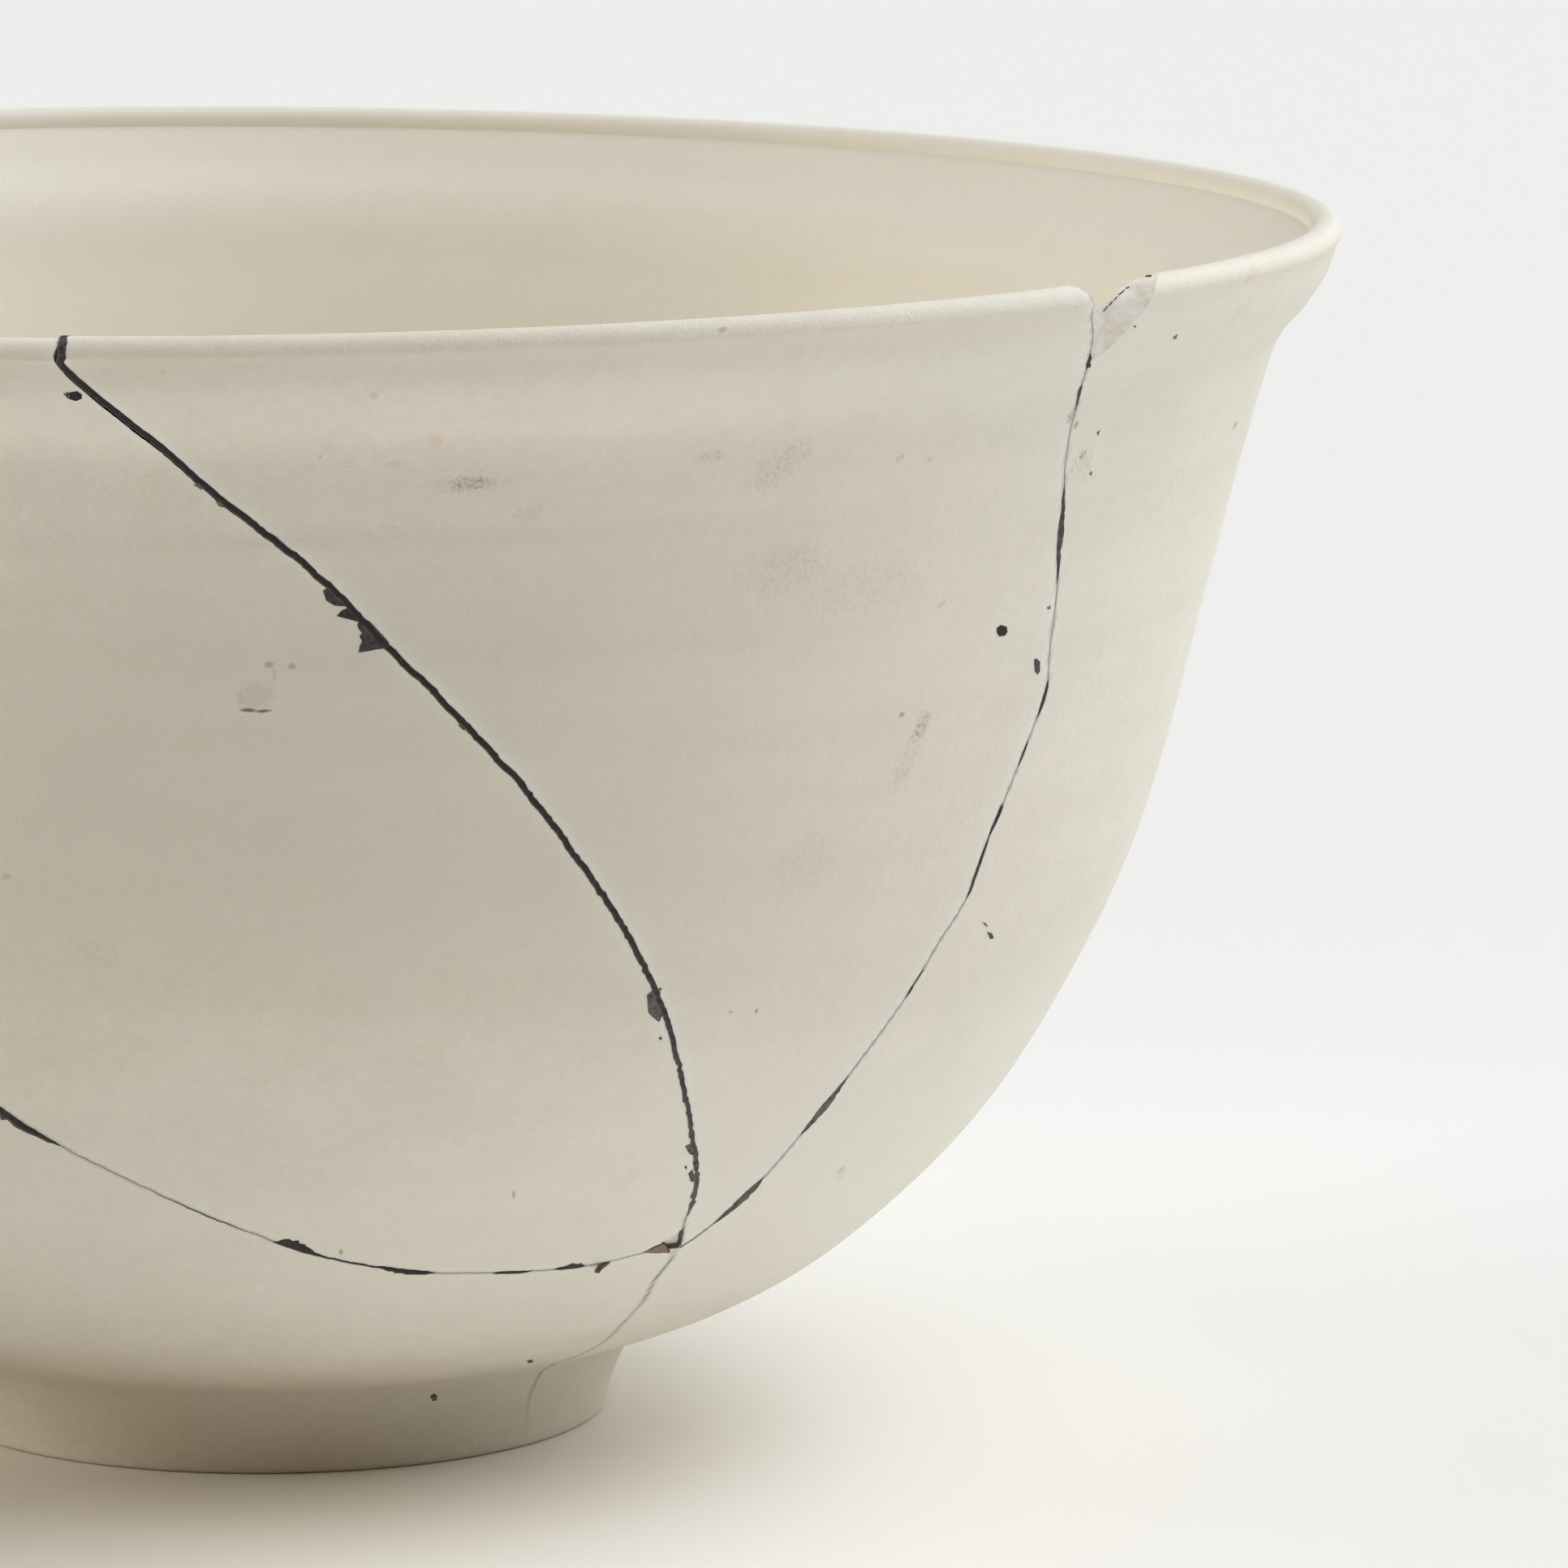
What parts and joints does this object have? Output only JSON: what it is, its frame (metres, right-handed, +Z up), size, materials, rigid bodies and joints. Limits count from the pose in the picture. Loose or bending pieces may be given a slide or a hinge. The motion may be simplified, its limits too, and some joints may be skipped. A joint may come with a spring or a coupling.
{
  "type": "mended porcelain bowl",
  "caption": "Deep round bowl on a low foot ring, thin wall flaring to a rounded lip, broken and rejoined along curved seams, with a flake missing at the rim.",
  "frame": {"origin": "centre of the flat underside of the foot ring", "axes": "+Z up along the bowl's axis, -Y towards the side with the front sherd"},
  "size_m": [0.1522, 0.1522, 0.0864],
  "materials": {
    "porcelain": "satin matt, very fine eggshell grain",
    "joint_lacquer": "hard dark filler, dull with small glints"
  },
  "bodies": {
    "root": {"bowl_body": "porcelain", "front_sherd": "porcelain", "left_sherd": "porcelain"}
  },
  "joints": []
}
